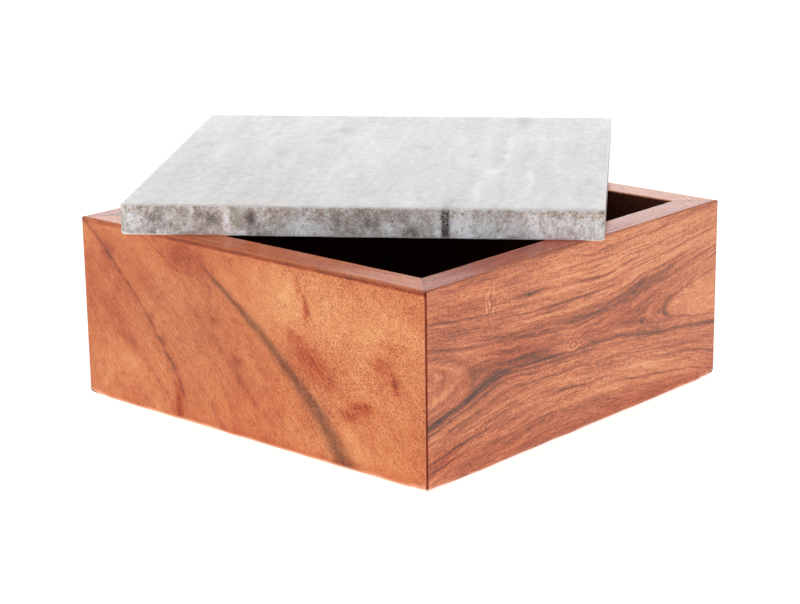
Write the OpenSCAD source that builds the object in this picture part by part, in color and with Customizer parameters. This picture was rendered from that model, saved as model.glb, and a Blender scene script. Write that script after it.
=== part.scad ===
// Square mitred wooden box with a loose stone lid that lies askew on its rim.
// The origin is at the centre of the underside, the front is at -Y, and sizes are in millimetres.

/* [Box] */
// Outer length of each side of the square box
box_side = 152; // [120:1:220]
// Height of the walls
box_height = 62; // [45:1:120]
// Thickness of the walls
wall_thick = 11.5; // [10:0.5:16]
// Radius of the eased edges at the rim and at the upright corners
box_arris = 1; // [0.5:0.1:2]
// Radius of the eased edge round the underside
foot_arris = 1.5; // [0.5:0.1:3]
// Radius of the eased edge round the inside of the rim
mouth_arris = 0.5; // [0.2:0.1:1]

/* [Bottom panel] */
// Thickness of the bottom panel, and height of the rebate that takes it
panel_thick = 5; // [3:0.5:8]
// Width of the rebate's ledge, which the panel bears on
ledge = 5; // [3:0.5:6]
// Gap round the panel, which leaves room for the wood to swell
panel_gap = 0.3; // [0.1:0.1:0.5]

/* [Corner splines] */
// Thickness of a spline
spline_thick = 3; // [2:0.5:4]
// Width of a spline, half of it in each of the two walls
spline_width = 8; // [5:0.5:9]
// Wood left over a spline, below the rim
spline_cover = 8; // [5:1:12]
// Wood left under a spline, above the rebate
spline_foot = 4; // [3:1:8]
// Glue clearance all round a spline in its slots
glue_gap = 0.1; // [0.05:0.05:0.2]

/* [Lid] */
// Thickness of the stone lid
lid_thick = 10; // [6:1:20]
// How far the lid stands past each side of the box when it lies square on it
lid_overhang = 1.5; // [0:0.5:6]
// Radius of the lid's eased edges
lid_arris = 0.6; // [0.3:0.1:1.5]
// Radius of the lid's upright corners
lid_corner = 1; // [0.5:0.1:4]

/* [Place of the lid] */
// Angle in degrees that the lid is turned on the rim
lid_turn = 35.4; // [0:0.1:45]
// Distance of the lid's centre to the right of the box's centre
lid_right = 23.3; // [0:0.1:30]
// Distance of the lid's centre behind the box's centre
lid_back = 27.8; // [0:0.1:30]

/* [Hidden] */
$fn = 64;

// Waste that a cutter leaves outside, so that no cut ends flush with a face
spare = 1;
half_side = box_side / 2;
cavity_side = box_side - 2 * wall_thick;

// The panel reaches under the ledge on all four sides
panel_side = cavity_side + 2 * (ledge - panel_gap);

// A spline lies in the mitre, nearer the inside of the corner, where the walls have the most wood
mitre_length = wall_thick * sqrt(2);
spline_depth_share = 0.6;
spline_depth = mitre_length * spline_depth_share;
spline_bottom = panel_thick + spline_foot;
spline_top = box_height - spline_cover;

lid_side = box_side + 2 * lid_overhang;

// Turn of each wall and of each corner about the box's centre
FRONT = 0;
RIGHT = 90;
BACK = 180;
LEFT = 270;

ORANGE_BROWN = [0.76, 0.42, 0.21];
RED_BROWN = [0.60, 0.29, 0.17];
PALE_WOOD = [0.80, 0.62, 0.42];
MARBLE = [0.84, 0.84, 0.82];

// What easing a square corner at the origin to radius r takes away
module corner_waste(r) {
    difference() {
        translate([-spare, -spare])
            square(r + spare);
        translate([r, r])
            circle(r);
    }
}

// A rectangle centred on X, standing on y = 0, with its lower and upper corners eased
module eased_rectangle(width, height, r_low, r_high) {
    difference() {
        translate([-width / 2, 0])
            square([width, height]);
        for (side = [0, 1])
            mirror([side, 0])
                translate([-width / 2, 0]) {
                    corner_waste(r_low);
                    translate([0, height])
                        mirror([0, 1])
                            corner_waste(r_high);
                }
    }
}

// Section of a wall across its length: x runs inwards from the outer face, y is the height
module wall_section() {
    difference() {
        square([wall_thick, box_height]);
        corner_waste(foot_arris);
        translate([0, box_height])
            mirror([0, 1])
                corner_waste(box_arris);
        translate([wall_thick, box_height])
            rotate(180)
                corner_waste(mouth_arris);
        translate([wall_thick - ledge, -spare])
            square([ledge + spare, panel_thick + spare]);
    }
}

// Plan of the front wall: a triangle with its point at the box's centre makes both mitres
module wall_plan() {
    polygon([[-half_side, -half_side], [half_side, -half_side], [0, 0]]);
}

// Plan of the whole box, with its upright corners eased
module box_plan() {
    translate([0, -half_side])
        eased_rectangle(box_side, box_side, box_arris, box_arris);
}

// A flat bar with round ends, lying in the mitre of the front left corner, larger by gap all round
module spline_bar(gap) {
    thick = spline_thick + 2 * gap;
    round_centres = spline_top - spline_bottom - spline_thick;
    translate([-half_side, -half_side, (spline_bottom + spline_top) / 2])
        rotate(45)
            translate([spline_depth, 0, 0])
                rotate([90, 0, 0])
                    linear_extrude(spline_width + 2 * gap, center = true) {
                        square([thick, round_centres], center = true);
                        for (end = [-1, 1])
                            translate([0, end * round_centres / 2])
                                circle(d = thick);
                    }
}

// One wall with a mitre at each end, a rebate for the panel and a blind slot in each mitre
module wall(turn, tint) {
    color(tint)
        rotate(turn)
            difference() {
                intersection() {
                    translate([0, -half_side, 0])
                        rotate([90, 0, 90])
                            linear_extrude(box_side + 2 * spare, center = true)
                                wall_section();
                    linear_extrude(box_height)
                        wall_plan();
                    linear_extrude(box_height)
                        box_plan();
                }
                for (corner = [FRONT, RIGHT])
                    rotate(corner)
                        spline_bar(glue_gap);
            }
}

// The floor of the box, flush with the underside of the walls
module bottom_panel() {
    color(PALE_WOOD)
        linear_extrude(panel_thick)
            square(panel_side, center = true);
}

// One loose tongue, glued in the slots of the two walls that meet at its corner
module spline(turn) {
    color(PALE_WOOD)
        rotate(turn)
            spline_bar(0);
}

// A plain square slab that lies flat on the rim, turned and pushed back as it was put down
module stone_lid() {
    color(MARBLE)
        translate([lid_right, lid_back, box_height])
            rotate(lid_turn)
                intersection() {
                    linear_extrude(lid_thick)
                        translate([0, -lid_side / 2])
                            eased_rectangle(lid_side, lid_side, lid_corner, lid_corner);
                    for_both_ways()
                        linear_extrude(lid_side + 2 * spare, center = true)
                            eased_rectangle(lid_side, lid_thick, lid_arris, lid_arris);
                }
}

// What is common to its child extruded along X and extruded along Y
module for_both_ways() {
    intersection() {
        rotate([90, 0, 0])
            children();
        rotate([90, 0, 90])
            children();
    }
}

wall(FRONT, RED_BROWN);  // front_wall
wall(RIGHT, ORANGE_BROWN);  // right_wall
wall(BACK, RED_BROWN);  // back_wall
wall(LEFT, ORANGE_BROWN);  // left_wall
bottom_panel();
spline(FRONT);  // front_left_spline
spline(RIGHT);  // front_right_spline
spline(BACK);  // back_right_spline
spline(LEFT);  // back_left_spline
stone_lid();
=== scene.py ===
import math

import bmesh
import bpy
from mathutils import Matrix, Vector, noise


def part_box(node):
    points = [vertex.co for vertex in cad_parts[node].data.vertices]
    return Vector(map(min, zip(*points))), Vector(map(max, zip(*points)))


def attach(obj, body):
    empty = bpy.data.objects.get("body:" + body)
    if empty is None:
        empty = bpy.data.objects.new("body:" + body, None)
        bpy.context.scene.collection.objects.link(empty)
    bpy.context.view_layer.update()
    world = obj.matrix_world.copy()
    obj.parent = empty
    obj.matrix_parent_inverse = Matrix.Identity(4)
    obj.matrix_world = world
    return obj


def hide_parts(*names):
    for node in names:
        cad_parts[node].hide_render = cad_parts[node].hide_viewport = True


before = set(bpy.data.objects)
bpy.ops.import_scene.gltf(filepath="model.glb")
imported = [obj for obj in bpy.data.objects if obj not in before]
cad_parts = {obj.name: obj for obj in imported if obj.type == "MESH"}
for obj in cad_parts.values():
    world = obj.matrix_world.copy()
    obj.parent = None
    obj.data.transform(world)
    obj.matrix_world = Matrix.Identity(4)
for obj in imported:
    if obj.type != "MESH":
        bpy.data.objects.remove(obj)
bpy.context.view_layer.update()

# A square mitred wooden box with a loose marble lid: surfaces, light and camera. Meshes are in
# metres and materials in millimetres. Each wall is built as the front wall, whose length is X, whose
# depth is Y and whose height is Z, and is then turned into its place, so that its material can use
# the same coordinates.

MM = 0.001

# The photograph's frame and the camera that took it, with the box's underside centred on the origin
IMAGE_WIDTH = 800
FOCAL_PIXELS = 2161.6
SENSOR_WIDTH = 36.0
CAMERA_PLACE = Vector((-529.7, -470.1, 227.0)) * MM
CAMERA_AZIMUTH = math.radians(-48.313)
CAMERA_ELEVATION = math.radians(15.605)
CAMERA_ROLL = math.radians(-0.725)

# Sizes of the wooden box, read from the frame where it shows them
wall_low, wall_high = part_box("front_wall")
HALF_SIDE = -wall_low.y
WALL = wall_high.y - wall_low.y
HEIGHT = wall_high.z
PANEL_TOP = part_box("bottom_panel")[1].z
LEDGE = 5.0 * MM

# Sizes and place of the lid
lid_low, lid_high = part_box("stone_lid")
LID_SIDE = 155.0 * MM
LID_TURN = math.radians(35.4)
LID_THICK = lid_high.z - lid_low.z
LID_PLACE = Vector(((lid_low.x + lid_high.x) / 2, (lid_low.y + lid_high.y) / 2, lid_low.z))

# Radius of its upright corners and of its ground edges
LID_CORNER = 1.6 * MM
LID_ARRIS = 0.6 * MM

# Turn of each wall about the upright axis, as in the part
WALL_TURNS = {"front_wall": 0, "right_wall": 90, "back_wall": 180, "left_wall": 270}


def spread(start, end, count):
    """Evenly spaced values from start to end, without the end."""
    return [start + (end - start) * i / count for i in range(count)]


def wobble(x, y, z, seed, size):
    """Smooth noise from about -1 to 1, with features of the given size in metres."""
    return noise.noise(Vector((x / size + seed, y / size - seed, z / size + 2 * seed)))


# Wall meshes: how many steps they have on each stretch, how far the rows of points beside their
# edges lie, and those near their ends in millimetres

FACE_STEPS = 30
RIM_STEPS = 6
SEAT_STEPS = 3
ARC_STEPS = 5
LENGTH_STEPS = 76
SUPPORT = 0.35 * MM
END_STEPS = (0.0, 0.12, 0.25, 0.45, 0.7, 1.1, 1.8, 3.0)
SHARP_ANGLE = math.radians(35)

# Radii of their eased edges: upright corner, mouth, and foot with what it gains near the corners
CORNER = 1.0 * MM
MOUTH = 0.5 * MM
FOOT = 1.5 * MM
FOOT_GAIN = 1.3 * MM
FOOT_REACH = 4 * MM

# How uneven these edges are, and the shallow waves of the outer face
UNEVEN_SHARE = 0.3
UNEVEN_SIZE = 9 * MM
ON_FACE = 0.01 * MM
WAVE_DEPTH = 0.02 * MM
WAVE_SIZE = 23 * MM

# The groove at the glue seam, and the small dip that it makes in the rim
SEAM_DEPTH = 0.13 * MM
SEAM_DIP = 0.3 * SEAM_DEPTH
DIP_BELOW_RIM = 1.2 * MM
DIP_START = 0.5 * MM

# How much larger a slot is cut than its spline
SLOT_GROWTH = 1.03


def wall_section(foot, rim, mouth):
    """Closed section of a wall: (depth from the outer face, height, wear) for each point."""
    points = []

    def arc(centre_u, centre_z, radius, first, last):
        for step in range(ARC_STEPS + 1):
            share = step / ARC_STEPS
            angle = math.radians(first + (last - first) * share)
            wear = math.sin(math.pi * share)
            points.append((centre_u + radius * math.cos(angle),
                           centre_z + radius * math.sin(angle), wear))

    def line(u0, z0, u1, z1, steps, support=True):
        length = math.hypot(u1 - u0, z1 - z0)
        shares = spread(0, 1, steps)[1:]
        if support:
            shares = [SUPPORT / length] + shares + [1 - SUPPORT / length]
        for share in shares:
            points.append((u0 + (u1 - u0) * share, z0 + (z1 - z0) * share, 0.0))

    arc(foot, foot, foot, 270, 180)
    line(0, foot, 0, HEIGHT - rim, FACE_STEPS)
    arc(rim, HEIGHT - rim, rim, 180, 90)
    line(rim, HEIGHT, WALL - mouth, HEIGHT, RIM_STEPS)
    arc(WALL - mouth, HEIGHT - mouth, mouth, 90, 0)
    line(WALL, HEIGHT - mouth, WALL, PANEL_TOP, FACE_STEPS)
    points.append((WALL, PANEL_TOP, 0.0))
    line(WALL, PANEL_TOP, WALL - LEDGE, PANEL_TOP, SEAT_STEPS, support=False)
    points.append((WALL - LEDGE, PANEL_TOP, 0.0))
    line(WALL - LEDGE, PANEL_TOP, WALL - LEDGE, 0, SEAT_STEPS, support=False)
    points.append((WALL - LEDGE, 0, 0.0))
    line(WALL - LEDGE, 0, foot, 0, SEAT_STEPS, support=False)
    return points


def wall_mesh(name, seed, rim_arris):
    """A mitred board with hand-eased edges. rim_arris(x) is the radius of its upper outer edge."""
    corner_cut = CORNER * (1 - math.sqrt(0.5))
    ends = [e * MM for e in END_STEPS]
    middles = spread(0, 1, LENGTH_STEPS)[1:]
    stations = [(-1, e) for e in ends] + [(0, m) for m in middles] + [(1, e) for e in reversed(ends)]
    vertices, wears = [], []
    for side, place in stations:
        rough_x = place * 2 * HALF_SIDE - HALF_SIDE if side == 0 else side * (HALF_SIDE - place)
        uneven = 1 + UNEVEN_SHARE * wobble(rough_x, 0, 0, seed, UNEVEN_SIZE)
        foot = FOOT + FOOT_GAIN * math.exp(-((HALF_SIDE - abs(rough_x)) / FOOT_REACH) ** 2)
        section = wall_section(foot * uneven, rim_arris(rough_x) * uneven, MOUTH * uneven)
        at_seam = side != 0 and place == 0
        for u, z, wear in section:
            first = max(u, corner_cut)
            if side == 0:
                last = ends[-1]
                span = HALF_SIDE - first - last
                x = (2 * place - 1) * span
                back = 0.0
            else:
                end_distance = first + place
                short = max(0.0, CORNER - end_distance)
                back = CORNER - math.sqrt(max(0.0, CORNER ** 2 - short ** 2))
                x = side * (HALF_SIDE - end_distance)
            depth = max(u, back)
            if at_seam:
                if u < CORNER:
                    depth = max(depth, corner_cut + SEAM_DEPTH)
                    x = side * (HALF_SIDE - depth)
                if z > HEIGHT - DIP_BELOW_RIM and u > DIP_START:
                    z -= SEAM_DIP
            if u < ON_FACE:
                depth += WAVE_DEPTH * (1 + wobble(x, 0, z, seed, WAVE_SIZE))
            vertices.append((x, depth - HALF_SIDE, z))
            wears.append(max(wear, min(1.0, 2.5 * back / corner_cut)))
    count = len(section)
    faces = []
    for i in range(len(stations) - 1):
        for j in range(count):
            k = (j + 1) % count
            faces.append((i * count + j, i * count + k, (i + 1) * count + k, (i + 1) * count + j))
    faces.append(tuple(reversed(range(count))))
    faces.append(tuple((len(stations) - 1) * count + j for j in range(count)))
    return mesh_object(name, vertices, faces, {"wear": wears})


def mesh_object(name, vertices, faces, attributes):
    """An object with smooth faces, creases where it turns sharply, and the given vertex values."""
    mesh = bpy.data.meshes.new(name)
    mesh.from_pydata(vertices, [], faces)
    for key, values in attributes.items():
        mesh.attributes.new(key, "FLOAT", "POINT").data.foreach_set("value", values)
    work = bmesh.new()
    work.from_mesh(mesh)
    bmesh.ops.recalc_face_normals(work, faces=work.faces)
    work.to_mesh(mesh)
    work.free()
    mesh.shade_smooth()
    mesh.set_sharp_from_angle(angle=SHARP_ANGLE)
    shape = bpy.data.objects.new(name, mesh)
    bpy.context.scene.collection.objects.link(shape)
    return shape


def cut_slots(wall, turn):
    """Cuts the blind slots for the two splines of this wall out of its mitred ends."""
    back_turn = Matrix.Rotation(-turn, 4, "Z")
    for name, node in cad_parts.items():
        if not name.endswith("_spline"):
            continue
        cutter_mesh = node.data.copy()
        cutter_mesh.transform(back_turn)
        centre = sum((v.co for v in cutter_mesh.vertices), Vector()) / len(cutter_mesh.vertices)
        if centre.y > 0:
            bpy.data.meshes.remove(cutter_mesh)
            continue
        grow = Matrix.Translation(centre) @ Matrix.Scale(SLOT_GROWTH, 4) @ Matrix.Translation(-centre)
        cutter_mesh.transform(grow)
        cutter = bpy.data.objects.new("cutter", cutter_mesh)
        bpy.context.scene.collection.objects.link(cutter)
        cut = wall.modifiers.new("slot", "BOOLEAN")
        cut.object = cutter
        cut.operation = "DIFFERENCE"
        cut.solver = "EXACT"
        with bpy.context.temp_override(object=wall, active_object=wall):
            bpy.ops.object.modifier_apply(modifier="slot")
        bpy.data.objects.remove(cutter)


def even_arris(x):
    """The same small radius all along."""
    return 0.9 * MM


def planed_arris(x):
    """The left wall's upper edge was planed wider towards its middle."""
    bulge = math.exp(-((x - 5 * MM) / (48 * MM)) ** 2)
    return (0.8 + 0.7 * bulge) * MM


# Lid mesh: how many steps it has round a corner, along a side and down its edge, and how far in
# millimetres the rings of points on its two faces lie from its side

LID_CORNER_STEPS = 4
LID_LENGTH_STEPS = 80
LID_EDGE_STEPS = 9
LID_RINGS = (60, 30, 15, 8, 4, 2)
LID_ROUGHNESS = 0.03 * MM


def lid_mesh(name):
    """A square slab with ground edges: rings round the slab, from the middle of its top
    outwards, down its side and back to the middle of its underside."""
    outline = []
    straight = LID_SIDE / 2 - LID_CORNER
    for corner in range(4):
        turn = corner * math.pi / 2
        for step in range(LID_CORNER_STEPS + 1):
            angle = turn + math.pi / 2 * step / LID_CORNER_STEPS
            centre = Matrix.Rotation(turn, 2) @ Vector((straight, straight))
            outline.append((centre, Vector((math.cos(angle), math.sin(angle)))))
        following = Matrix.Rotation(turn + math.pi / 2, 2) @ Vector((straight, straight))
        out = Vector((math.cos(turn + math.pi / 2), math.sin(turn + math.pi / 2)))
        for share in spread(0, 1, LID_LENGTH_STEPS)[1:]:
            outline.append((centre.lerp(following, share), out))
    arc = [step / ARC_STEPS for step in range(ARC_STEPS + 1)]
    rings = [("top", d * MM) for d in LID_RINGS]
    rings += [("top_arris", share) for share in arc]
    rings += [("side", share) for share in spread(0, 1, LID_EDGE_STEPS)[1:]]
    rings += [("foot_arris", share) for share in arc]
    rings += [("foot", d * MM) for d in reversed(LID_RINGS)]
    vertices, wears = [], []
    for kind, value in rings:
        for centre, out in outline:
            edge = centre + out * LID_CORNER
            chip = wobble(edge.x, edge.y, 3, 5, 5 * MM) + 0.6 * wobble(edge.x, edge.y, 9, 2, 1.6 * MM)
            nick = max(0.0, wobble(edge.x, edge.y, 1, 8, 2.3 * MM) - 0.35)
            radius = LID_ARRIS * (1 + 0.35 * chip + 1.6 * nick)
            inset, height, wear = 0.0, 0.0, 0.0
            if kind in ("top", "foot"):
                inset = value
                height = LID_THICK if kind == "top" else 0.0
            elif kind == "side":
                height = LID_THICK - radius - (LID_THICK - 2 * radius) * value
                rough = wobble(edge.x, edge.y, height, 4, 1.1 * MM)
                inset = LID_ROUGHNESS * (1 + rough)
            else:
                angle = math.pi / 2 * value
                upper = kind == "top_arris"
                bend = math.sin(angle) if upper else math.cos(angle)
                rise = math.cos(angle) if upper else math.sin(angle)
                drop = radius * (1 - rise)
                inset = radius * (1 - bend)
                height = LID_THICK - drop if upper else drop
                wear = math.sin(math.pi * value)
            if inset > LID_CORNER * 0.98:
                point = centre * (1 - (inset - LID_CORNER) / straight)
            else:
                point = centre + out * (LID_CORNER - inset)
            spun = Matrix.Rotation(LID_TURN, 2) @ point
            vertices.append((spun.x, spun.y, height))
            wears.append(wear)
    count = len(outline)
    faces = []
    for i in range(len(rings) - 1):
        for j in range(count):
            k = (j + 1) % count
            faces.append((i * count + j, (i + 1) * count + j, (i + 1) * count + k, i * count + k))
    faces.append(tuple(range(count)))
    faces.append(tuple(reversed([(len(rings) - 1) * count + j for j in range(count)])))
    return mesh_object(name, vertices, faces, {"wear": wears})


# Materials

class Graph:
    """The node tree of one material, with a short call for each kind of node."""

    def __init__(self, name, turn=0.0):
        """turn is how far the piece's own axes are turned from its object's, about the upright."""
        self.material = bpy.data.materials.new(name)
        self.material.use_nodes = True
        self.tree = self.material.node_tree
        self.tree.nodes.clear()
        self.output = self.tree.nodes.new("ShaderNodeOutputMaterial")
        self.shader = self.tree.nodes.new("ShaderNodeBsdfPrincipled")
        self.tree.links.new(self.shader.outputs[0], self.output.inputs["Surface"])
        coordinates = self.tree.nodes.new("ShaderNodeTexCoord")
        place = self.spin(coordinates.outputs["Object"], -turn)
        self.normal = self.spin(coordinates.outputs["Normal"], -turn)
        scaled = self.tree.nodes.new("ShaderNodeVectorMath")
        scaled.operation = "SCALE"
        self.feed(scaled.inputs[0], place)
        self.feed(scaled.inputs["Scale"], 1 / MM)
        self.place = scaled.outputs[0]
        self.x, self.y, self.z = self.split(self.place)

    def spin(self, vector, angle):
        node = self.tree.nodes.new("ShaderNodeVectorRotate")
        node.rotation_type = "Z_AXIS"
        self.feed(node.inputs["Vector"], vector)
        node.inputs["Angle"].default_value = angle
        return node.outputs[0]

    def feed(self, socket, value):
        if isinstance(value, bpy.types.NodeSocket):
            self.tree.links.new(value, socket)
        else:
            socket.default_value = value

    def split(self, vector):
        node = self.tree.nodes.new("ShaderNodeSeparateXYZ")
        self.feed(node.inputs[0], vector)
        return node.outputs[0], node.outputs[1], node.outputs[2]

    def join(self, x, y, z):
        node = self.tree.nodes.new("ShaderNodeCombineXYZ")
        for socket, value in zip(node.inputs, (x, y, z)):
            self.feed(socket, value)
        return node.outputs[0]

    def math(self, operation, *values, clamp=False):
        node = self.tree.nodes.new("ShaderNodeMath")
        node.operation = operation
        node.use_clamp = clamp
        for socket, value in zip(node.inputs, values):
            self.feed(socket, value)
        return node.outputs[0]

    def add(self, *values):
        total = values[0]
        for value in values[1:]:
            total = self.math("ADD", total, value)
        return total

    def times(self, *values):
        total = values[0]
        for value in values[1:]:
            total = self.math("MULTIPLY", total, value)
        return total

    def noise(self, vector, scale=1.0, detail=2.0, rough=0.5, distortion=0.0):
        node = self.tree.nodes.new("ShaderNodeTexNoise")
        self.feed(node.inputs["Vector"], vector)
        self.feed(node.inputs["Scale"], scale)
        self.feed(node.inputs["Detail"], detail)
        self.feed(node.inputs["Roughness"], rough)
        self.feed(node.inputs["Distortion"], distortion)
        return node.outputs["Fac"]

    def step(self, value, low, high, start=0.0, end=1.0):
        """Goes smoothly from start to end as value goes from low to high."""
        node = self.tree.nodes.new("ShaderNodeMapRange")
        node.interpolation_type = "SMOOTHSTEP"
        for socket, item in zip(node.inputs, (value, low, high, start, end)):
            self.feed(socket, item)
        return node.outputs[0]

    def hump(self, value, centre, width):
        """A bell curve of value, which is 1 at the centre."""
        off = self.times(self.math("SUBTRACT", value, centre), 1 / width)
        return self.math("EXPONENT", self.times(off, off, -1.0))

    def patch(self, u, v, centre, widths):
        """A soft oval spot in the plane of u and v."""
        return self.times(self.hump(u, centre[0], widths[0]), self.hump(v, centre[1], widths[1]))

    def mix(self, share, first, second, blend="MIX"):
        node = self.tree.nodes.new("ShaderNodeMix")
        node.data_type = "RGBA"
        node.blend_type = blend
        node.clamp_factor = True
        self.feed(node.inputs[0], share)
        self.feed(node.inputs[6], first)
        self.feed(node.inputs[7], second)
        return node.outputs[2]

    def tint(self, share, base, shade):
        """Multiplies a colour by a shade where the share is 1."""
        return self.mix(share, base, self.mix(1.0, base, shade, "MULTIPLY"))

    def ramp(self, value, stops):
        """Turns a value into a colour; stops are pairs of a value and its colour, in rising order."""
        node = self.tree.nodes.new("ShaderNodeValToRGB")
        elements = node.color_ramp.elements
        for index, (place, shade) in enumerate(stops):
            element = elements[index] if index < 2 else elements.new(place)
            element.position = place
            element.color = shade
        self.feed(node.inputs[0], value)
        return node.outputs[0]

    def attribute(self, name):
        node = self.tree.nodes.new("ShaderNodeAttribute")
        node.attribute_name = name
        return node.outputs["Fac"]

    def bump(self, height, strength, distance):
        node = self.tree.nodes.new("ShaderNodeBump")
        self.feed(node.inputs["Strength"], strength)
        self.feed(node.inputs["Distance"], distance)
        self.feed(node.inputs["Height"], height)
        self.tree.links.new(node.outputs[0], self.shader.inputs["Normal"])

    def surface(self, colour, roughness, **fixed):
        self.feed(self.shader.inputs["Base Color"], colour)
        self.feed(self.shader.inputs["Roughness"], roughness)
        for name, value in fixed.items():
            self.shader.inputs[name.replace("_", " ")].default_value = value


def colour(red, green, blue):
    """A colour from the values 0 to 255 that a screen shows."""
    def linear(value):
        share = value / 255
        return share / 12.92 if share <= 0.04045 else ((share + 0.055) / 1.055) ** 2.4
    return (linear(red), linear(green), linear(blue), 1.0)


def tones(*stops):
    return [(place, colour(*shade)) for place, shade in stops]


# The tones of each wood and of the marble's side and top, from dark to light
STREAKED = tones((0.05, (66, 54, 51)), (0.24, (112, 75, 63)), (0.40, (158, 91, 66)),
                 (0.54, (193, 112, 80)), (0.70, (220, 143, 100)), (0.92, (236, 176, 132)))
GOLDEN = tones((0.05, (84, 52, 42)), (0.25, (146, 79, 54)), (0.42, (189, 101, 65)),
               (0.56, (211, 125, 79)), (0.72, (226, 151, 97)), (0.95, (238, 182, 130)))
BARE = tones((0.1, (150, 104, 66)), (0.5, (200, 160, 112)), (0.9, (226, 196, 152)))
MARBLE_SIDE = tones((0.05, (84, 82, 82)), (0.28, (138, 132, 129)), (0.47, (182, 175, 172)),
                    (0.62, (208, 208, 210)), (0.84, (240, 244, 250)))
MARBLE_TOP = tones((0.05, (168, 172, 178)), (0.45, (214, 213, 212)), (0.88, (246, 246, 245)))

# Tints of the wood, among them the painted shade of its inner faces, and the colour of its worn
# edges with their painted highlight and of the chips along the inner edge
SEAM_TINT = colour(156, 92, 78)
INSIDE_PAINTED_SHADE = colour(104, 98, 120)
GREY_TINT = colour(172, 192, 204)
RED_TINT = colour(232, 186, 168)
WORN_WOOD_AND_HIGHLIGHT = colour(234, 168, 128)
CHIPPED_WOOD = colour(216, 196, 180)

# Painted light on the upper edge of each wood: its tint and how much lighter it is, set for how
# the rims catch the light
STREAKED_RIM_PAINTED_LIGHT = (colour(252, 188, 148), 0.0)
GOLDEN_RIM_PAINTED_LIGHT = (colour(255, 194, 150), 0.20)

# Tints of the marble, and the colours of its marks
RUST_TINT = colour(216, 186, 162)
WARM_TINT = colour(250, 240, 232)
SPECK = colour(134, 98, 74)
GREEN_STAIN = colour(158, 158, 138)
DARK_VEIN = colour(34, 32, 32)
PALE_VEIN = colour(120, 118, 116)
WORN_STONE = colour(236, 236, 236)


def centred(g, value, strength):
    """Turns noise from 0 to 1 into a swing of the given strength about zero."""
    return g.times(g.math("SUBTRACT", value, 0.5), strength)


def wood(name, figure, ramp, rim, corner_wear_and_highlight, seed, joined=True):
    """Oiled hardwood. figure(graph, depth) gives the coordinate along the grain, the one across it,
    the lightness, redness and greyness of what the board shows in one place only, and how strong its
    streaks, pores and speckle are. Noise drawn out along the grain makes the streaks, hairs and pores.
    rim is the painted light of its upper edge: a tint and an added lightness, set for how the rims
    catch the light. corner_wear_and_highlight lightens its upright corners with wear and a painted
    highlight, its inner faces are darkened with painted shade, and a joined board has glue seams at its
    mitred ends."""
    rim_painted_tint, rim_painted_light = rim
    g = Graph(name)
    depth = g.math("ADD", g.y, HALF_SIDE / MM)
    along, across, light, red, grey, streak_share, pore_share, speckle_share = figure(g, depth)
    deep = g.add(g.times(depth, 0.5), seed)
    zones = g.noise(g.join(g.times(along, 0.010), g.times(deep, 0.2), g.times(across, 0.20)),
                    detail=2)
    streaks = g.noise(g.join(g.times(along, 0.045), deep, g.times(across, 0.75)),
                      detail=5, rough=0.68)
    hairs = g.noise(g.join(g.times(along, 0.24), g.times(deep, 3), g.times(across, 2.4)),
                    detail=3, rough=0.62)
    speckle = g.noise(g.place, 1.8, 2, 0.7)
    pores = g.noise(g.join(g.times(along, 0.42), g.times(deep, 4), g.times(across, 4.4)), detail=1)
    pits = g.times(g.step(pores, 0.62, 0.70), pore_share)
    normal_z = g.split(g.normal)[2]
    upward = g.step(normal_z, 0.80, 0.99)
    stripes = g.noise(g.join(g.times(g.x, 0.022), g.times(depth, 0.62), seed), detail=3, rough=0.65)
    # The upward faces get stripes along the grain and, as painted light, an added lightness
    light = g.add(light, g.times(upward, g.add(centred(g, stripes, 1.0), rim_painted_light)))
    tone = g.add(light, g.times(centred(g, zones, 0.42), streak_share),
                 g.times(centred(g, streaks, 0.90), streak_share), centred(g, hairs, 0.55),
                 g.times(centred(g, speckle, 1.0), speckle_share), g.times(pits, -0.40))
    base = g.ramp(tone, ramp)
    base = g.tint(red, base, RED_TINT)
    base = g.tint(grey, base, GREY_TINT)
    # Painted light: the upward faces get their own tint, set for how the rims catch the light
    base = g.tint(upward, base, rim_painted_tint)
    # Painted shade: the inner faces are darkened as if deep in the box's shadow
    inside_painted_shade = g.times(g.step(depth, WALL / MM - 0.9, WALL / MM - 0.1), g.step(normal_z, 0.9, 0.3))
    base = g.tint(inside_painted_shade, base, INSIDE_PAINTED_SHADE)
    # Edges are lightened; on the upright corners this is wear together with a painted highlight
    wear = g.attribute("wear")
    upright = g.step(g.z, HEIGHT / MM - 1.5, HEIGHT / MM - 2.2, 0.12, corner_wear_and_highlight)
    base = g.mix(g.times(wear, upright), base, WORN_WOOD_AND_HIGHLIGHT)
    inner_edge = g.times(wear, g.step(depth, WALL / MM - 1.2, WALL / MM - 0.6),
                         g.step(g.z, HEIGHT / MM - 2.0, HEIGHT / MM - 1.0))
    chips = g.step(g.noise(g.join(g.times(g.x, 0.6), g.y, g.z), 1.0, 2), 0.60, 0.68)
    base = g.mix(g.times(inner_edge, chips, 0.9), base, CHIPPED_WOOD)
    if joined:
        seam_distance = g.math("SUBTRACT", g.math("ABSOLUTE", g.y), g.math("ABSOLUTE", g.x))
        seam = g.times(g.step(seam_distance, 0.80, 0.25), g.step(normal_z, 0.9, 0.2, 0.5, 1.0))
        base = g.tint(seam, base, SEAM_TINT)
    roughness = g.add(0.14, g.times(hairs, 0.12), g.times(pits, 0.3))
    g.surface(base, roughness, Coat_Weight=0.02, Coat_Roughness=0.10, Specular_IOR_Level=0.20)
    height = g.add(g.times(hairs, 0.4), g.times(pits, -1.0), g.times(streaks, 0.5))
    g.bump(height, 0.25, 0.10 * MM)
    return g.material


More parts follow.
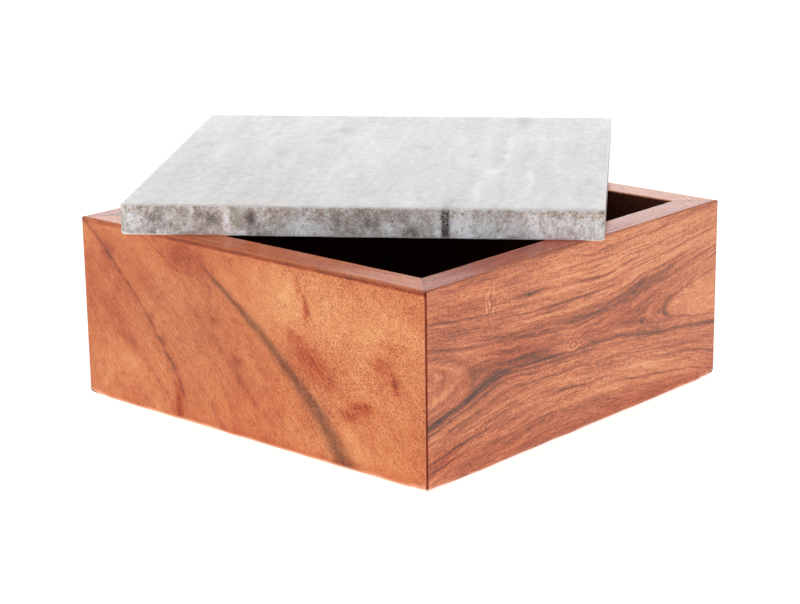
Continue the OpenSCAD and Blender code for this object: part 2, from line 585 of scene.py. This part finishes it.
def lines(g, along, across, rows):
    """The darkest of some streaks, each given by its place across the grain, its half width, where
    it starts and ends along the grain and its strength."""
    total = 0.0
    for place, width, first, last, strength in rows:
        reach = g.times(g.step(along, first - 9, first + 9), g.step(along, last + 9, last - 9))
        streak = g.times(g.hump(across, place, width), reach, strength)
        total = g.math("MAXIMUM", total, streak)
    return total


def spots(g, u, v, rows):
    """The sum of soft oval spots, each given by its centre, its two half widths and its strength."""
    return g.add(*(g.times(g.patch(u, v, (a, b), (c, d)), strength) for a, b, c, d, strength in rows))


# Dark streaks of the front wall: place across the grain, half width, start, end, strength
MAIN_LINES = ((28.2, 0.6, -90, 90, 0.27), (27.6, 1.1, -90, -36, 0.27), (28.2, 0.8, 34, 90, 0.30))
FRONT_LINES = ((29.8, 2.8, -60, -14, 0.19), (31.0, 0.5, -50, -16, 0.24), (26.6, 0.5, -60, 10, 0.20),
               (37.3, 0.8, -74, 30, 0.20), (25.2, 0.5, -80, -30, 0.20), (9.0, 0.9, -52, 0, 0.14),
               (38.6, 2.6, -52, 50, 0.19), (39.6, 0.5, -10, 46, 0.22), (41.6, 0.4, 6, 56, 0.20),
               (36.2, 0.4, -30, 20, 0.2), (12.8, 0.35, 20, 70, 0.2), (21.6, 0.35, 20, 60, 0.18),
               (42.8, 0.35, -60, -10, 0.2), (17.2, 0.3, -50, 0, 0.16), (53.4, 0.3, -20, 30, 0.18),
               (44.6, 0.5, -48, 24, 0.25), (47.2, 0.4, -76, -30, 0.18), (49.6, 0.5, -6, 32, 0.26),
               (50.7, 0.7, -34, -20, 0.28), (55.3, 0.4, -40, 10, 0.16), (58.0, 0.4, 0, 50, 0.14),
               (52.0, 0.4, 20, 60, 0.18), (46.5, 0.4, 24, 70, 0.2), (34.0, 0.7, -44, -10, 0.16),
               (32.0, 2.5, -10, 46, 0.06),
               (24.8, 0.6, -60, -24, 0.18), (22.0, 0.4, -30, 20, 0.13), (19.0, 0.4, 30, 80, 0.2),
               (15.0, 0.5, -76, -46, 0.22), (15.6, 0.4, -16, 6, 0.24), (11.6, 0.5, -76, -54, 0.26),
               (8.6, 1.6, -40, 30, 0.10), (5.0, 0.5, -80, -60, 0.2))

# Its soft light and dark places: centre, half widths, strength
FRONT_SPOTS = ((-69, 33, 8, 6.5, -0.02), (62, 29.5, 15, 7.5, 0.03), (-28, 32, 24, 5, -0.03),
               (-36, 46, 26, 5, 0.03), (-70, 22, 8, 3, -0.08), (-52, 24, 12, 6, -0.06),
               (26, 54, 52, 7, 0.13), (35, 16, 45, 5, 0.05), (35, 2.5, 42, 2.6, -0.09),
               (28, 9, 46, 5, 0.08), (12, 39, 48, 7, 0.05), (-66, 42, 10, 9, -0.06),
               (-30, 3, 25, 3, -0.06), (-66, 50, 12, 8, -0.04), (-5, 29.5, 3.2, 2.4, 0.05))

# Its reddest places
FRONT_RED = ((35, 2, 60, 5, 0.6), (-68, 9, 8, 5, 0.5), (-35, 34, 16, 6, 0.4), (-50, 6, 30, 6, 0.35),
             (20, 33, 24, 4, 0.3), (-60, 55, 14, 6, 0.3))

# Where its grain lies a little higher or lower than the rule says: centre, half widths, shift
FRONT_NUDGES = ((-40, 26, 12, 7, -2.8), (-76, 20, 10, 6, 1.6), (41, 24, 12, 5, 1.4),
                (76, 18, 10, 6, -1.6), (50, 30, 16, 5, 1.0))

# Where it is calm, rippled, less streaked and full of pores: centre, half widths, strength
FRONT_CALM = ((63, 28, 15, 7.5, 1.1), (-66, 32, 10, 8, 1.2), (75, 36, 8, 5, 1.1))
FRONT_RIPPLES = ((36, 54, 34, 8, 0.8), (14, 14, 46, 7, 0.8), (-62, 12, 14, 6, 0.6))
FRONT_FAINT = ((25, 2, 50, 5, -0.4), (-30, 33, 18, 5, -0.3))
FRONT_PORES = ((38, 54, 22, 7, 0.7), (-58, 13, 14, 6, 0.9), (25, 17, 40, 5, 0.5))

# Centre of its small knot, along the board and up
KNOT = (-5.0, 29.6)


def streaked_board(g, depth, x, z, seed, own):
    """Grain along the board that parts towards both ends, round an eye at the right and an oval
    at the left. Only its own board has the small knot between them, and its soft places."""
    inward = g.math("ADD", g.y, seed)
    here = g.join(x, inward, z)
    slow = centred(g, g.noise(here, 0.03, 2), 4.5)
    fast = centred(g, g.noise(g.join(g.times(x, 0.07), inward, g.times(z, 0.25)), 1.0, 2), 1.6)
    off = g.math("ADD", x, 7.0)
    rise = g.times(off, off, 0.0016)
    split = g.times(g.step(z, 25.0, 38.5, -0.9, 1.0), g.step(z, 42.0, 62.0, 1.0, 0.3))
    across = g.add(z, g.times(rise, split, -1.0), slow, fast, depth)
    calm = g.math("MINIMUM", spots(g, x, z, FRONT_CALM), 1.0)
    short_grain = g.noise(g.join(g.times(x, 0.1), seed, g.times(across, 1.7)), 1.0, 2)
    dashes = g.step(short_grain, 0.62, 0.74, 0.0, 0.22)
    if own:
        knot = g.patch(x, z, KNOT, (3.4, 2.4))
        across = g.add(across, g.times(knot, 1.6), spots(g, x, z, FRONT_NUDGES))
    dark = lines(g, x, across, FRONT_LINES)
    main = g.times(lines(g, x, across, MAIN_LINES), g.step(z, 34.5, 31.5))
    grain_breaks = g.noise(g.join(g.times(x, 0.07), seed, g.times(across, 1.9)), 1.0, 3, 0.6)
    broken = g.times(g.step(grain_breaks, 0.34, 0.52, 0.45, 1.0), g.step(calm, 0.25, 0.6, 1.0, 0.0))
    lift = g.math("SUBTRACT", z, g.add(30.5, centred(g, g.noise(here, 0.2, 2), 3.0)))
    eye = g.math("SUBTRACT", g.times(g.math("SUBTRACT", x, 45.5), 1 / 30), g.times(lift, lift, 1 / 66))
    lift = g.math("ADD", lift, -2.5)
    oval = g.math("SUBTRACT", g.times(g.math("ADD", x, 61.0), -1 / 15), g.times(lift, lift, 1 / 46))
    rims = g.add(g.times(g.hump(eye, -0.03, 0.06), -0.16), g.times(g.step(eye, 0.0, 0.16), 0.08),
                 g.times(g.hump(oval, 0.08, 0.16), 0.10), g.times(g.hump(oval, -0.35, 0.2), -0.05))
    flecks = g.noise(g.join(g.add(g.times(x, 0.34), g.times(z, 0.30)), inward,
                            g.add(g.times(z, 1.5), g.times(x, -0.62))), 1.0, 2, 0.6)
    ripples = g.times(centred(g, flecks, 0.55), spots(g, x, z, FRONT_RIPPLES))
    marks = g.times(g.add(dark, g.times(dashes, 0.6)), broken, -1.05)
    light = g.add(0.57, marks, g.times(main, -0.95), rims, ripples)
    red = 0.25
    if own:
        ring_x = g.times(g.math("SUBTRACT", x, KNOT[0]), 0.62)
        ring_z = g.math("SUBTRACT", z, KNOT[1])
        ring = g.math("SQRT", g.add(g.times(ring_x, ring_x), g.times(ring_z, ring_z)))
        rings = g.times(g.math("SINE", g.times(ring, 4.6)), knot, 0.11)
        curls = g.noise(g.join(g.times(x, 0.9), g.y, g.times(z, 0.28)), 1.0, 2)
        curl = g.step(curls, 0.46, 0.62, -0.12, 0.30)
        flame = g.times(curl, g.patch(x, z, (-46.5, 52.0), (2.6, 5.0)))
        light = g.add(light, rings, flame, spots(g, x, z, FRONT_SPOTS))
        red = g.math("MAXIMUM", spots(g, x, z, FRONT_RED), 0.0)
    streak_share = g.add(1.0, g.times(calm, -0.65), spots(g, x, z, FRONT_FAINT))
    pore_patches = g.add(g.step(g.noise(here, 0.05, 2), 0.35, 0.6, 0.35, 0.9),
                         spots(g, x, z, FRONT_PORES))
    pore_share = g.times(pore_patches, g.step(calm, 0.2, 0.8, 1.0, 0.15))
    return x, across, light, red, 0.0, streak_share, pore_share, 0.6


def front_figure(g, depth):
    return streaked_board(g, depth, g.x, g.z, 0.0, True)


def back_figure(g, depth):
    """The same plank's next board, upside down."""
    x = g.math("ADD", g.times(g.x, -1.0), 22.0)
    return streaked_board(g, depth, x, g.math("SUBTRACT", HEIGHT / MM, g.z), 71.0, False)


# Streaks of the left wall: place at its foot, slope and bend going up, half widths at foot and top,
# lowest and highest point, strength
LEFT_STREAKS = ((-24.3, -0.35, -0.0078, 0.7, 0.8, 8, 64, 0.19),
                (-30.0, -0.95, -0.0020, 1.8, 1.8, 0, 34, 0.09),
                (18.0, -1.0, -0.0010, 1.6, 1.5, 8, 40, 0.11),
                (24.0, -0.40, -0.0128, 0.6, 0.6, 52, 62, 0.20),
                (-8.0, -0.9, 0.0, 1.2, 1.2, -4, 14, 0.12),
                (54.0, -0.53, 0.0, 0.5, 0.6, 44, 55, 0.18),
                (81.0, -0.55, 0.0, 0.6, 0.7, 28, 37, 0.14))

# The broad grey streak, in the same terms
GREY_STREAKS = ((44.0, -0.67, -0.0086, 3.0, 1.2, -6, 53, 0.85),)

# Its soft light and dark places: centre, half widths, strength
LEFT_SPOTS = ((-26, 34, 34, 18, -0.06), (40, 47, 34, 11, 0.17), (20, 52, 9, 7, 0.14),
              (64, 12, 14, 14, 0.05), (64, 54, 9, 7, -0.04), (50, 23, 17, 8, 0.08),
              (47, 8, 11, 7, 0.12), (8, 8, 12, 7, 0.03), (-66, 54, 9, 8, -0.08),
              (-52, 16, 12, 5, 0.10), (-26, 56, 9, 6, -0.12), (-63, 52, 3, 3, -0.12),
              (-43, 32, 1.6, 3, -0.10), (-38, 27, 1.6, 3, -0.12), (-31, 5, 1.5, 7, -0.10))

# Where its colour is duller: centre, half widths, strength
LEFT_HAZE = ((-30, 36, 34, 18, 0.14),)

# Its dark red smudges, torn along the grain: centre, half widths, strength
LEFT_SMUDGES = ((22, 38, 4, 2.8, 0.6), (27, 33.5, 4, 3.2, 0.7), (32, 30, 4.4, 3.4, 0.8),
                (37, 25.5, 3.4, 3, 0.6), (44.5, 17.5, 3.4, 1.9, 0.9), (52, 21.5, 3.2, 1.9, 1.0),
                (47, 20.5, 2.4, 1.6, 0.5), (58, 36, 3.2, 2.6, 0.7), (63.5, 30.5, 1.5, 3.6, 0.7),
                (27.5, 48, 1.3, 4, 1.0), (24, 54, 1.2, 3, 0.5), (-3, 26, 2.4, 2.4, 0.6),
                (-14, 37, 2.4, 2, 0.5), (63, 42, 5, 3, 0.3))

# Its reddest places
LEFT_RED = ((29, 32, 11, 8, 0.5), (50, 20, 9, 5, 0.5), (61, 34, 6, 6, 0.45), (-31, 5, 2, 8, 1.2),
            (-74, 40, 8, 16, 0.25), (-24, 56, 14, 6, 0.6), (30, 1, 50, 2.5, 0.6), (66, 12, 10, 12, 0.3))

# Where it shows the marks of sanding: centre, half widths, strength
LEFT_SANDED = ((62, 36, 26, 16, 1.0), (10, 40, 20, 3, 0.7), (40, 10, 26, 8, 0.5))


def slanted(g, x, z, bend, rows):
    """The darkest of some streaks that slant across a board."""
    total = 0.0
    for foot, slope, curve, foot_width, top_width, low, high, strength in rows:
        place = g.add(foot, g.times(z, slope), g.times(z, z, curve), bend)
        width = g.step(z, 0.0, 60.0, foot_width, top_width)
        off = g.math("DIVIDE", g.math("SUBTRACT", x, place), width)
        streak = g.math("EXPONENT", g.times(off, off, -0.5))
        reach = g.times(g.step(z, low - 4, low + 4), g.step(z, high + 4, high - 4))
        total = g.math("MAXIMUM", total, g.times(streak, reach, strength))
    return total


def golden_board(g, depth, x, z, seed, own):
    """Grain that slants down to the right, steeper near the foot, under soft golden clouds. Only
    its own board has the smudges, the soft places and a dark red line of painted shade along its planed
    upper edge."""
    here = g.join(x, g.math("ADD", g.y, seed), z)
    slow = centred(g, g.noise(here, 0.025, 2), 10.0)
    fast = centred(g, g.noise(here, 0.16, 3), 2.4)
    slant = g.add(g.times(z, 0.5), g.times(z, z, 0.008))
    across = g.times(g.add(x, slant, slow, fast, g.times(depth, 2.0)), 0.75)
    along = g.times(g.math("SUBTRACT", z, x), 0.7)
    bend = centred(g, g.noise(here, 0.10, 4), 4.0)
    breaks = g.noise(g.join(g.times(along, 0.22), seed, g.times(across, 0.4)), 1.0, 3, 0.6)
    dark = g.times(slanted(g, x, z, bend, LEFT_STREAKS), g.step(breaks, 0.36, 0.60, 0.45, 1.25))
    outer = g.step(depth, 3.0, 0.5)
    grey = g.times(slanted(g, x, z, bend, GREY_STREAKS), outer, g.step(breaks, 0.30, 0.55, 0.75, 1.0))
    cloud_depth = g.add(g.times(depth, 0.1), seed)
    clouds = g.noise(g.join(g.times(along, 0.035), cloud_depth, g.times(across, 0.085)),
                     1.0, 4, 0.55, 0.5)
    mottle = g.noise(here, 0.35, 3, 0.6)
    dots = g.step(g.noise(g.join(g.times(along, 1.2), g.y, g.times(across, 3.0)), 1.0, 1), 0.60, 0.70)
    speckled = g.times(g.step(x, 0.0, 36.0), g.step(z, 6.0, 26.0, 0.4, 1.0))
    dotted = g.times(dots, g.add(0.18, g.times(speckled, 0.82)), -0.46)
    light = g.add(0.575, g.times(dark, outer, -1.0), g.times(grey, -0.13), centred(g, clouds, 0.36),
                  centred(g, mottle, 0.22), dotted)
    red = g.step(g.noise(here, 0.045, 3), 0.45, 0.68, 0.0, 0.35)
    if own:
        torn = g.step(g.noise(g.join(g.times(along, 0.20), 0.0, g.times(across, 1.3)), 1.0, 3, 0.6),
                      0.36, 0.62, 0.35, 1.2)
        smudge = g.times(spots(g, x, z, LEFT_SMUDGES), torn, outer)
        # Painted shade: a dark red line along the planed upper edge, where the edge turns from the light
        planed = g.times(g.hump(z, HEIGHT / MM - 0.9, 0.45), g.step(x, -45.0, -20.0, 0.3, 1.0), outer,
                         g.step(g.noise(g.join(g.times(x, 0.12), g.y, z), 1.0, 2), 0.3, 0.6, 0.4, 1.0))
        sanding = g.noise(g.join(g.times(x, 0.07), g.y, g.times(z, 1.9)), 1.0, 3, 0.6)
        sanded = g.add(0.2, spots(g, x, z, LEFT_SANDED))
        light = g.add(light, g.times(planed, -0.32), g.times(smudge, -0.20),
                      g.times(centred(g, sanding, 0.30), sanded, outer),
                      g.times(spots(g, x, z, LEFT_SPOTS), outer))
        red = g.add(red, g.times(spots(g, x, z, LEFT_RED), outer), smudge, g.times(planed, 2.5))
        grey = g.add(grey, g.times(spots(g, x, z, LEFT_HAZE), outer))
    pore_share = g.step(g.noise(here, 0.06, 2), 0.35, 0.55, 0.4, 0.9)
    return along, across, light, red, grey, 0.20, pore_share, g.add(0.42, g.times(speckled, 0.58))


def left_figure(g, depth):
    return golden_board(g, depth, g.x, g.z, 0.0, True)


def right_figure(g, depth):
    """The same plank's next board, turned end for end."""
    x = g.math("ADD", g.times(g.x, -1.0), -13.0)
    return golden_board(g, depth, x, g.z, 43.0, False)


def bare_figure(g, depth):
    """Plain upright grain, for the splines."""
    return g.z, g.x, 0.5, 0.0, 0.0, 0.4, 0.3, 0.2


# Soft places on the lid's near side: place along it, height, half widths, strength
SIDE_SPOTS = ((75, 4, 3.0, 5, 0.08), (48, 5.5, 3.4, 2.4, -0.30), (35, 6, 1.8, 3.0, -0.36),
              (42.8, 5, 1.2, 4, 0.34), (39, 1.2, 2.8, 1.6, 0.34), (19, 3, 5, 3, 0.16), (29, 3, 3, 4, -0.10),
              (-3, 4.5, 2.8, 1.8, -0.26), (-17, 2.4, 2.6, 2, -0.24), (-33, 4, 3.6, 6, 0.42),
              (-55, 5, 4.5, 7, 0.26), (-9, 2.4, 3.0, 2.2, 0.20), (8, 6, 4, 2, -0.16), (6, 2.5, 2, 2, -0.14),
              (-46, 5, 6, 6, 0.12), (62, 5, 10, 6, -0.13), (-24.5, 4, 1.4, 4, 0.26), (-70, 3, 7, 4, 0.02),
              (56, 5, 3, 4, 0.08), (69, 5, 2.4, 4, -0.05), (-63, 4, 6, 4, 0.10))

# Soft places on its top: place across and along the bedding, half widths, strength
TOP_SPOTS = ((20, 47, 3.4, 6, -0.28), (24, 29, 3, 5, -0.24), (38, 6, 3, 8, -0.24),
             (-11, 17, 2.6, 6, -0.30), (-45, 68, 3.4, 8, -0.30), (-41, 12, 2, 4, -0.2),
             (-30, 4, 1.0, 4, -0.3), (46, 40, 1.4, 4, -0.2), (44, -35, 26, 44, -0.10),
             (5, 20, 8, 60, 0.08), (-36, -55, 1.4, 20, 0.30), (-38, -22, 3, 7, 0.30),
             (-42, 30, 1.3, 24, 0.22), (-53, 24, 0.9, 26, 0.16), (-52, -34, 1.1, 22, 0.16),
             (-71, -35, 2, 5, -0.2), (-2, -56, 2, 4, -0.2))


def marble(name):
    """Grey-white marble, bedded along X, honed smooth on its faces and coarser on its ground edges."""
    g = Graph(name, LID_TURN)
    face = g.step(g.math("ABSOLUTE", g.split(g.normal)[2]), 0.5, 0.95)
    clouds = g.noise(g.place, 0.16, 3, 0.6, 0.8)
    mottle = g.noise(g.place, 0.55, 4, 0.65, 0.3)
    grains = g.noise(g.place, 1.7, 3, 0.7)
    near = g.step(g.x, -60.0, -74.0)
    flaws = g.noise(g.place, 0.33, 3, 0.55, 0.4)
    tone = g.add(0.53, centred(g, clouds, 0.35), centred(g, flaws, 0.75), centred(g, mottle, 0.55),
                 centred(g, grains, 0.65),
                 g.times(near, spots(g, g.y, g.z, SIDE_SPOTS)))
    side = g.ramp(tone, MARBLE_SIDE)
    crumbs = g.noise(g.place, 1.4, 3, 0.7)
    rust_height = g.add(g.z, centred(g, mottle, 12.0))
    rust = g.times(g.step(rust_height, 3.0, 9.0, 0.15, 1.0), g.step(crumbs, 0.42, 0.58))
    side = g.tint(g.times(rust, 0.8), side, RUST_TINT)
    specks = g.noise(g.join(g.times(g.x, 0.9), g.times(g.y, 0.9), g.times(g.z, 0.6)), 1.0, 3, 0.65)
    side = g.mix(g.times(g.step(specks, 0.57, 0.70), 0.7), side, SPECK)
    green = g.times(g.patch(g.y, g.z, (39.3, 7.0), (1.8, 3.2)), near)
    side = g.mix(g.times(green, 0.8), side, GREEN_STAIN)
    vein_line = g.add(g.y, 27.3, g.times(g.math("ADD", g.x, 77.5), 0.09), centred(g, mottle, 1.4))
    vein = g.times(g.step(g.math("ABSOLUTE", vein_line), 1.7, 0.9), g.step(g.x, -56.0, -76.0))
    side = g.mix(g.times(vein, g.step(grains, 0.62, 0.48, 0.35, 0.95)), side, DARK_VEIN)
    beds = g.noise(g.join(g.times(g.x, 0.02), g.times(g.y, 0.11), g.times(g.z, 0.1)), 1.0, 3, 0.6, 0.4)
    wisps = g.noise(g.join(g.times(g.x, 0.16), g.times(g.y, 0.34), g.z), 1.0, 5, 0.7, 0.5)
    sway = g.add(g.y, centred(g, g.noise(g.place, 0.06, 3), 5.0))
    top_tone = g.add(0.55, centred(g, beds, 0.75), centred(g, wisps, 0.85), centred(g, mottle, 0.7),
                     centred(g, grains, 0.7), g.times(spots(g, sway, g.x, TOP_SPOTS), 1.2))
    top = g.ramp(top_tone, MARBLE_TOP)
    warm = g.step(g.noise(g.place, 0.05, 3), 0.45, 0.65)
    top = g.tint(g.times(warm, 0.35), top, WARM_TINT)
    top = g.mix(g.times(vein, 0.28), top, PALE_VEIN)
    base = g.mix(face, side, top)
    wear = g.attribute("wear")
    base = g.mix(g.times(wear, 0.45), base, WORN_STONE)
    roughness = g.add(0.42, g.times(face, -0.14), g.times(grains, 0.10))
    g.surface(base, roughness, Specular_IOR_Level=0.5)
    relief = g.add(g.times(grains, 0.8), g.times(mottle, 0.4))
    g.bump(relief, g.add(0.32, g.times(face, -0.26)), 0.15 * MM)
    return g.material


streaked_wood = wood("streaked_wood", front_figure, STREAKED, STREAKED_RIM_PAINTED_LIGHT, 0.2, 0.0)
golden_wood = wood("golden_wood", left_figure, GOLDEN, GOLDEN_RIM_PAINTED_LIGHT, 0.8, 30.0)
back_wood = wood("back_wood", back_figure, STREAKED, STREAKED_RIM_PAINTED_LIGHT, 0.2, 100.0)
right_wood = wood("right_wood", right_figure, GOLDEN, GOLDEN_RIM_PAINTED_LIGHT, 0.8, 150.0)
panel_wood = wood("panel_wood", back_figure, STREAKED, STREAKED_RIM_PAINTED_LIGHT, 0.2, 200.0, joined=False)
spline_wood = wood("spline_wood", bare_figure, BARE, GOLDEN_RIM_PAINTED_LIGHT, 0.2, 400.0, joined=False)
marble_stone = marble("marble")

# Pieces of the box: material, slot, seed and upper edge of each wall, and the eased edge of the rest

EASED_EDGE = 0.3 * MM
EASED_STEPS = 2
WALL_LOOKS = {"front_wall": (streaked_wood, "streaked_wood", 3.1, even_arris),
              "right_wall": (right_wood, "golden_wood", 7.7, even_arris),
              "back_wall": (back_wood, "streaked_wood", 12.4, even_arris),
              "left_wall": (golden_wood, "golden_wood", 5.2, planed_arris)}

for node_name, (material, slot_name, wall_seed, arris) in WALL_LOOKS.items():
    wall_turn = math.radians(WALL_TURNS[node_name])
    wall = wall_mesh(node_name + "_board", wall_seed, arris)
    cut_slots(wall, wall_turn)
    wall.data.materials.clear()
    wall.data.materials.append(material)
    wall.matrix_world = Matrix.Rotation(wall_turn, 4, "Z")
    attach(wall, "box")
    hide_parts(node_name)

for node_name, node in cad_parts.items():
    if node_name == "bottom_panel" or node_name.endswith("_spline"):
        for holder in node.material_slots:
            holder.material = panel_wood if node_name == "bottom_panel" else spline_wood
        eased = node.modifiers.new("eased", "BEVEL")
        eased.width = EASED_EDGE
        eased.segments = EASED_STEPS

# The lid

lid = lid_mesh("marble_slab")
lid.data.materials.append(marble_stone)
lid.matrix_world = Matrix.Translation(LID_PLACE)
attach(lid, "lid")
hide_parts("stone_lid")

# Floor, light and camera

FLOOR_SIZE = 8.0
FLOOR_SHADE = (0.9, 0.9, 0.9, 1)
FLOOR_ROUGHNESS = 0.9
FLOOR_GLOW = 0.62
WHITE = (1, 1, 1, 1)

floor_mesh = bpy.data.meshes.new("floor")
half = FLOOR_SIZE / 2
floor_corners = [(-half, -half, 0), (half, -half, 0), (half, half, 0), (-half, half, 0)]
floor_mesh.from_pydata(floor_corners, [], [(0, 1, 2, 3)])
floor = bpy.data.objects.new("floor", floor_mesh)
bpy.context.scene.collection.objects.link(floor)
floor_look = bpy.data.materials.new("floor")
floor_look.use_nodes = True
floor_shader = floor_look.node_tree.nodes["Principled BSDF"]
floor_shader.inputs["Base Color"].default_value = FLOOR_SHADE
floor_shader.inputs["Roughness"].default_value = FLOOR_ROUGHNESS
floor_shader.inputs["Emission Color"].default_value = WHITE
floor_shader.inputs["Emission Strength"].default_value = FLOOR_GLOW
floor_mesh.materials.append(floor_look)


def softbox(name, azimuth, elevation, distance, width, height, power):
    """An area light that faces the box from the given direction, in degrees and metres."""
    a, e = math.radians(azimuth), math.radians(elevation)
    away = Vector((math.sin(a) * math.cos(e), -math.cos(a) * math.cos(e), math.sin(e)))
    light = bpy.data.lights.new(name, "AREA")
    light.shape = "RECTANGLE"
    light.size = width
    light.size_y = height
    light.energy = power
    lamp = bpy.data.objects.new(name, light)
    lamp.location = away * distance
    lamp.rotation_mode = "QUATERNION"
    lamp.rotation_quaternion = away.to_track_quat("Z", "Y")
    bpy.context.scene.collection.objects.link(lamp)


softbox("backdrop", azimuth=132, elevation=4, distance=1.7, width=2.4, height=0.8, power=9.0)
softbox("fill", azimuth=-48, elevation=10, distance=1.7, width=1.6, height=1.6, power=6.3)

# A studio that is brightest near the floor and dimmer overhead: height of a direction, brightness
HORIZON = (0.0, 1.05)
OVERHEAD = (0.8, 0.50)
world = bpy.data.worlds.new("studio")
bpy.context.scene.world = world
world.use_nodes = True
sky = world.node_tree
direction = sky.nodes.new("ShaderNodeTexCoord").outputs["Generated"]
height = sky.nodes.new("ShaderNodeSeparateXYZ")
sky.links.new(direction, height.inputs[0])
fall = sky.nodes.new("ShaderNodeMapRange")
sky.links.new(height.outputs[2], fall.inputs[0])
for socket, value in zip(fall.inputs[1:5], (HORIZON[0], OVERHEAD[0], HORIZON[1], OVERHEAD[1])):
    socket.default_value = value
sky.links.new(fall.outputs[0], sky.nodes["Background"].inputs["Strength"])
sky.nodes["Background"].inputs["Color"].default_value = WHITE
bpy.context.scene.view_settings.view_transform = "Standard"

camera_data = bpy.data.cameras.new("camera")
camera_data.sensor_width = SENSOR_WIDTH
camera_data.lens = FOCAL_PIXELS * SENSOR_WIDTH / IMAGE_WIDTH
camera_data.clip_start = 0.01
camera = bpy.data.objects.new("camera", camera_data)
bpy.context.scene.collection.objects.link(camera)
back = Vector((math.sin(CAMERA_AZIMUTH) * math.cos(CAMERA_ELEVATION),
               -math.cos(CAMERA_AZIMUTH) * math.cos(CAMERA_ELEVATION), math.sin(CAMERA_ELEVATION)))
right = Vector((math.cos(CAMERA_AZIMUTH), math.sin(CAMERA_AZIMUTH), 0))
up = back.cross(right)
rolled_right = right * math.cos(CAMERA_ROLL) + up * math.sin(CAMERA_ROLL)
rolled_up = up * math.cos(CAMERA_ROLL) - right * math.sin(CAMERA_ROLL)
camera_axes = Matrix((rolled_right, rolled_up, back)).transposed().to_4x4()
camera.matrix_world = Matrix.Translation(CAMERA_PLACE) @ camera_axes
bpy.context.scene.camera = camera
